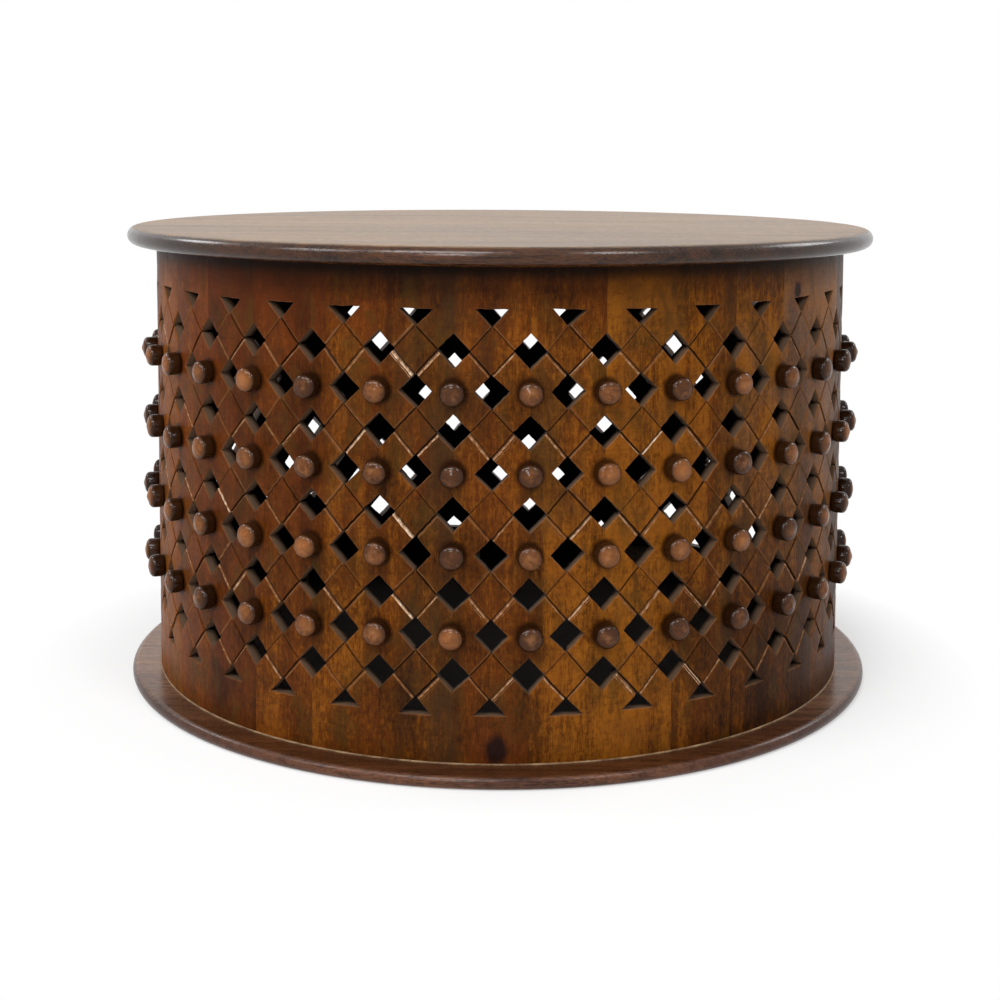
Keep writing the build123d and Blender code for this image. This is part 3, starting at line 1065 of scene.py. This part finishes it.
def disc_wood(mat, node):
    """Figure of one board of a disc, with its grain along X, and the board's lightness."""
    rng = seeded("disc", node)
    moved = mat.node("ShaderNodeVectorMath", operation="ADD")
    moved.inputs[1].default_value = tuple(rng.uniform(0, TEXTURE_SPREAD) for _ in range(3))
    mat.link(mat.place(), moved.inputs[0])
    wood = board_figure(mat, moved.outputs["Vector"], 0)
    light = mat.add(mat.remap(wood["streak"], 0.3, 0.7, 0.1, 0.9), rng.uniform(-0.12, 0.12))
    return wood, mat.remap(swung(mat, light, wood, DISC_SWINGS), 0.0, 1.0)


def within_wall(mat):
    """How far each point lies inside the drum, where the base is painted dark grey as painted shade."""
    flat, axes = mat.node("ShaderNodeCombineXYZ"), mat.axes()
    for axis in ("X", "Y"):
        mat.link(axes[axis], flat.inputs[axis])
    return mat.remap(mat.length(flat.outputs[0]), INNER_RADIUS - MM, INNER_RADIUS + MM, 1.0, 0.0)


def disc_material(node, look):
    """A board of the top or base disc, lacquered, and darker round the turned edge."""
    mat = Shader(f"{node}_wood")
    wood, light = disc_wood(mat, node)
    axes, face_z = mat.axes(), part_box(node)[1].z
    colour = mat.mix(light, *look["face"])
    if "sides" in look:
        # painted reflection on the base's face at the table's sides
        side_sheen = mat.remap(mat.math("ABSOLUTE", axes["Y"], 0.0), SIDE_SHEEN_TO, SIDE_SHEEN_FROM, 1.0, 0.0)
        colour = mat.mix(side_sheen, colour, mat.mix(light, *look["sides"]))
    end_grain = mat.math("ABSOLUTE", axes["X"], 0.0)
    end_grain = mat.remap(end_grain, END_GRAIN_FROM, END_GRAIN_TO, 0.0, END_STAIN)
    rim_colour = mat.mix(end_grain, mat.mix(light, *look["rim"]), look["rim"][0])
    on_rim = mat.remap(axes["Z"], face_z - 1.6 * MM, face_z - 0.2 * MM, 1.0, 0.0)
    pitted = pits(mat, wood)
    colour = mat.layers(colour, ((on_rim, rim_colour), (mat.times(pitted, 0.5), DARK_WOOD)))
    rough = mat.remap(wood["streak"], 0.3, 0.7, *look["gloss"])
    rough = mat.less(rough, mat.times(on_rim, look["rim_polish"]))
    rough = mat.add(rough, mat.times(pitted, 0.1))
    if look is BASE_LOOK:
        within = within_wall(mat)
        # painted shade on the base inside the drum, which is also made rougher
        colour = mat.mix(within, colour, BASE_INSIDE_SHADE)
        rough = mat.add(rough, mat.times(within, 0.6))
    raise_grain(mat, wood, 0.2 * MM, 0.4)
    return mat.finish(colour, rough, 0.0, 0.12, look["specular"])


def plain_wood():
    """Unfinished wood of the cleats inside the drum."""
    mat = Shader("cleat_wood")
    figure = mat.noise(mat.place(), (60, 60, 8), 5.0)
    colour = mat.mix(mat.remap(figure, 0.3, 0.7), CLEAT_DARK, CLEAT_PALE)
    mat.bump(figure, 0.3 * MM, 0.4)
    return mat.finish(colour, mat.remap(figure, 0.3, 0.7, 0.6, 0.8), 0.0, 0.3)


def steel_material():
    """Zinc plated screws."""
    mat = Shader("screw_steel")
    figure = mat.noise(mat.place(), (400, 400, 400))
    colour = mat.mix(mat.remap(figure, 0.3, 0.7), STEEL_DARK, STEEL_PALE)
    mat.surface.inputs["Metallic"].default_value = 1.0
    return mat.finish(colour, mat.remap(figure, 0.3, 0.7, 0.3, 0.5), 0.0, 0.3)


# ---- dressing the model ----
# Lightness, its gains towards the foot and under the top, and redness of the staves seen from the front.
# The gains are partly stain and partly painted light and shade, such as painted shadow under the top;
# a negative redness paints a greyish sheen.
FRONT_TONES = {
    26: (0.55, 0.00, 0.00, 0.60),
    27: (0.62, 0.40, 0.00, 0.60),
    28: (0.93, 0.10, 0.50, 0.62),
    29: (0.40, 0.10, 0.02, 0.60),
    30: (0.19, 0.02, -0.60, 0.44),
    31: (0.21, 0.38, -0.50, 0.38),
    32: (0.47, 0.04, -0.34, 0.25),
    33: (0.43, 0.02, -0.26, 0.10),
    34: (0.57, -0.22, -0.20, 0.20),
    1: (0.65, 0.02, -0.26, 0.10),
    2: (0.87, 0.04, 0.44, 0.10),
    3: (0.65, -0.26, -0.10, 0.05),
    4: (0.76, -0.64, -0.25, -0.30),
    5: (0.68, -0.62, 0.52, -0.60),
    6: (0.86, -0.58, 0.90, -0.70),
    7: (0.32, -0.10, 0.00, -0.60),
    8: (0.45, -0.10, 0.00, -0.30),
}
BACK_TONES = ((0.36, 0.78), (-0.2, 0.1), (-0.2, 0.1), (0.05, 0.5))  # ranges for the others


def stave_tones(index):
    """Lightness, its gains towards the foot and under the top, and redness of a stave."""
    if index + 1 in FRONT_TONES:
        return FRONT_TONES[index + 1]
    rng = seeded("tone", index)
    return [rng.uniform(*span) for span in BACK_TONES]


def dress(node, material):
    """Gives a CAD node its material."""
    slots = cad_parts[node].data.materials
    slots.clear()
    slots.append(material)


def dress_staves():
    """Replaces every CAD stave by its carved one."""
    material = stave_material()
    for index, name in enumerate(STAVES):
        piece = carved_stave(index, material, stave_tones(index))
        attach(piece, "root")
        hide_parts(name)


def dress_knobs():
    """Replaces every CAD row of knobs by turned ones."""
    material = knob_material()
    for number, name in enumerate(KNOB_ROWS):
        piece = turned_knobs(f"turned_{name}", 2 * (number + 1), material)
        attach(piece, "root")
        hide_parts(name)


def dress_foot():
    """Adds the bead of filler round the foot of the wall."""
    piece = foot_bead("foot_bead", filler_material())
    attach(piece, "root")


def dress_cad_nodes():
    """Materials of the discs' boards and of the cleats and screws inside the drum."""
    cleat, steel = plain_wood(), steel_material()
    for name in sorted(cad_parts):
        if name.startswith("top_board_"):
            dress(name, disc_material(name, TOP_LOOK))
        elif name.startswith("base_board_"):
            dress(name, disc_material(name, BASE_LOOK))
        elif name.endswith("_cleats"):
            dress(name, cleat)
        elif name.endswith("_screws"):
            dress(name, steel)


# ---- stage, light and camera ----
FLOOR_RADIUS = 6.0
FLOOR_GREY = 0.93
SHADOW_FROM, SHADOW_TO = 0.375, 0.50  # distances from the table's axis over which its shadow fades
SHADOW_LIFT = 0.40
AMBIENT = 0.22

# Soft lamps: place, height of the target on the table's axis, width and height of the box, and watts.
LAMPS = {
    "key": ((-0.8, -2.1, 2.6), 0.25, (1.5, 0.9), 49),
    "catch": ((-0.6, -2.6, 1.3), 0.25, (0.5, 0.45), 12.5),
    "fill": ((1.4, -2.0, 2.3), 0.25, (0.7, 0.9), 22),
    "side": ((-2.1, -1.4, 2.1), 0.25, (1.0, 0.8), 22),
    "edge": ((-2.1, 0.7, 1.75), 0.4, (0.8, 0.5), 14),
    "back": ((2.3, 0.9, 1.9), 0.25, (1.0, 0.8), 19),
}

CAMERA_DISTANCE = 1.7020
CAMERA_HEIGHT = 0.54046
CAMERA_PITCH = 0.08323  # radians below the level
CAMERA_ROLL = 0.00533
FOCAL_SHARE = 1.6263  # focal length as a share of the picture's width
SENSOR_WIDTH = 36.0
SHIFT_UP = -0.22
CLIP_NEAR, CLIP_FAR = 0.05, 60


def make_floor():
    """Plain pale floor that fades to the white of the surroundings."""
    bpy.ops.mesh.primitive_circle_add(vertices=96, radius=FLOOR_RADIUS, fill_type="NGON")
    floor = bpy.context.object
    floor.name = "floor"
    mat = Shader("floor")
    mat.surface.inputs["Base Color"].default_value = (FLOOR_GREY, FLOOR_GREY, FLOOR_GREY, 1)
    mat.surface.inputs["Roughness"].default_value = 0.9
    mat.surface.inputs["Specular IOR Level"].default_value = 0.1
    white = mat.node("ShaderNodeEmission", Strength=1.0)
    away = mat.remap(mat.length(mat.place()), SHADOW_FROM, SHADOW_TO, SHADOW_LIFT, 1.0)
    path = mat.node("ShaderNodeLightPath").outputs
    seen = mat.math("MAXIMUM", path["Is Camera Ray"], path["Is Glossy Ray"])
    mixer = mat.node("ShaderNodeMixShader")
    mat.link(mat.times(away, seen), mixer.inputs[0])
    mat.link(mat.surface.outputs[0], mixer.inputs[1])
    mat.link(white.outputs[0], mixer.inputs[2])
    mat.link(mixer.outputs[0], mat.tree.nodes["Material Output"].inputs["Surface"])
    floor.data.materials.append(mat.material)


def make_world():
    """Even ambient light, seen as white by the camera and in reflections."""
    world = bpy.data.worlds.new("surroundings")
    bpy.context.scene.world = world
    world.use_nodes = True
    nodes = Nodes(world.node_tree)
    background = nodes.tree.nodes["Background"]
    background.inputs["Color"].default_value = (1, 1, 1, 1)
    path = nodes.node("ShaderNodeLightPath").outputs
    seen = nodes.math("MAXIMUM", path["Is Camera Ray"], path["Is Transmission Ray"])
    seen = nodes.math("MAXIMUM", seen, path["Is Glossy Ray"])
    nodes.link(nodes.remap(seen, 0.0, 1.0, AMBIENT, 1.0), background.inputs["Strength"])


def softbox(name, place, target_height, size, power):
    """A rectangular area lamp turned to a target on the table's axis."""
    data = bpy.data.lights.new(name, "AREA")
    data.shape = "RECTANGLE"
    data.size, data.size_y = size
    data.energy = power
    lamp = bpy.data.objects.new(name, data)
    bpy.context.scene.collection.objects.link(lamp)
    lamp.location = place
    aim = Vector((0, 0, target_height)) - Vector(place)
    lamp.rotation_euler = aim.to_track_quat("-Z", "Y").to_euler()


def make_camera():
    """Camera in front of the table, a little above its top."""
    data = bpy.data.cameras.new("camera")
    data.sensor_width = SENSOR_WIDTH
    data.lens = FOCAL_SHARE * SENSOR_WIDTH
    data.shift_y = SHIFT_UP
    data.clip_start, data.clip_end = CLIP_NEAR, CLIP_FAR
    camera = bpy.data.objects.new("camera", data)
    bpy.context.scene.collection.objects.link(camera)
    level = Euler((pi / 2 - CAMERA_PITCH, 0, 0)).to_matrix()
    rolled = level @ Matrix.Rotation(CAMERA_ROLL, 3, "Z")
    camera.matrix_world = Matrix.Translation((0, -CAMERA_DISTANCE, CAMERA_HEIGHT)) @ rolled.to_4x4()
    bpy.context.scene.camera = camera


make_camera()
dress_staves()
dress_knobs()
dress_foot()
dress_cad_nodes()
make_floor()
make_world()
for lamp_name, lamp_look in LAMPS.items():
    softbox(lamp_name, *lamp_look)
bpy.context.scene.view_settings.view_transform = "Standard"
